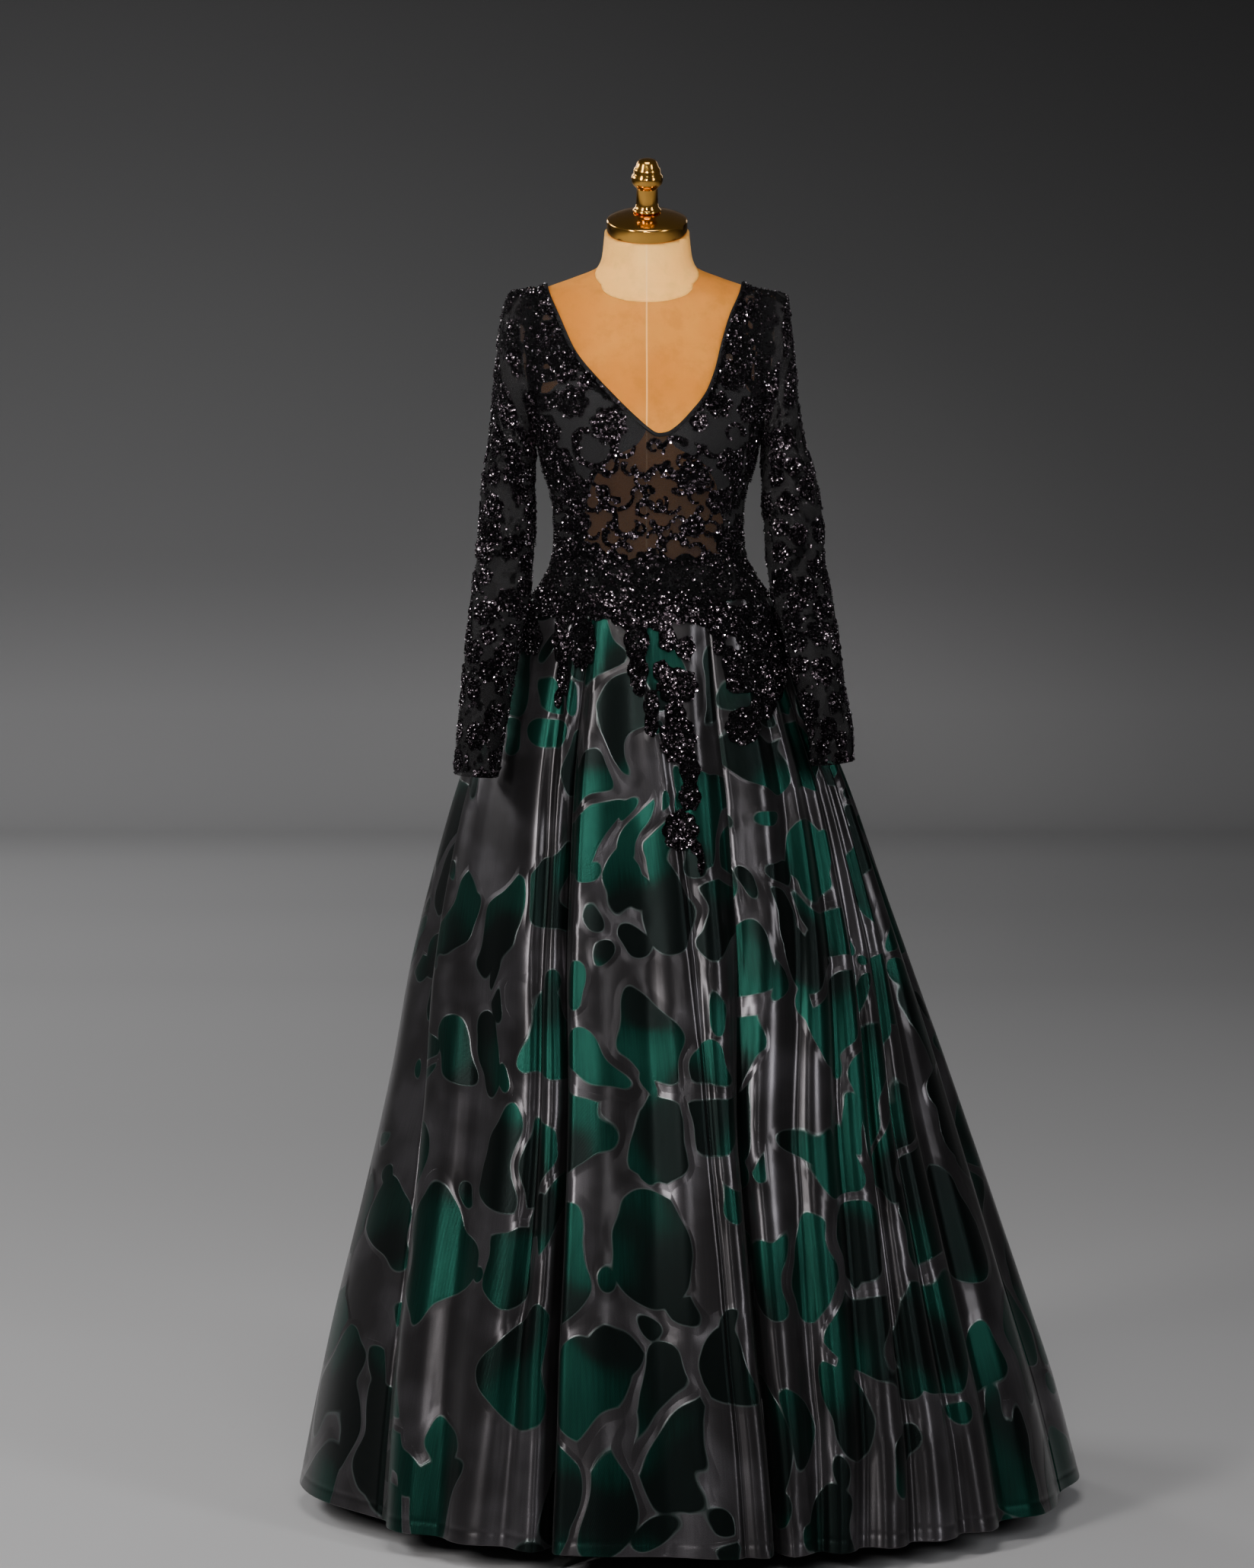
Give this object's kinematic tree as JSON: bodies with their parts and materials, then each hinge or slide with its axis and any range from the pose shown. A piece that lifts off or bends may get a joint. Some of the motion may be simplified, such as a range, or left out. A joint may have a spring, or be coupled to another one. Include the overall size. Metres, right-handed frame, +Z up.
{
  "type": "evening gown on dress form",
  "caption": "Floor-length evening gown with a sheer V-neck bodice, long net sleeves, lace at the hip and a pleated jacquard skirt, on a limbless dress form with a round stand.",
  "frame": {"origin": "centre of the flat underside of the stand's round base, on the floor", "axes": "+Z up, the front of the gown faces -Y, +X to the viewer's right"},
  "size_m": [1.0321, 0.9428, 1.7648],
  "materials": {
    "form_velvet": "short tan velvet pile",
    "form_velvet_pale": "short pale beige velvet pile",
    "gold": "polished amber gold",
    "stand_metal": "dark satin paint",
    "lining": "dark slate matt lining",
    "net": "black sheer net",
    "binding_satin": "black satin binding",
    "skirt_jacquard": "charcoal satin jacquard with metallic green pebble shapes",
    "bead_lace": "black lace with shiny beads and sequins"
  },
  "bodies": {
    "root": {"form_torso": "form_velvet", "form_neck": "form_velvet_pale", "neck_cap": "gold", "finial": "gold", "stand_base": "stand_metal", "stand_pole": "stand_metal", "lining_left": "lining", "lining_right": "lining", "bodice_front": "net", "bodice_back_left": "net", "bodice_back_right": "net", "binding_front": "binding_satin", "binding_back_left": "binding_satin", "binding_back_right": "binding_satin", "sleeve_left": "net", "sleeve_right": "net", "skirt_front": "skirt_jacquard", "skirt_side_front_right": "skirt_jacquard", "skirt_side_back_right": "skirt_jacquard", "skirt_back_right": "skirt_jacquard", "skirt_back_left": "skirt_jacquard", "skirt_side_back_left": "skirt_jacquard", "skirt_side_front_left": "skirt_jacquard", "lace_hip_front": "bead_lace", "lace_hip_back": "bead_lace"}
  },
  "joints": []
}
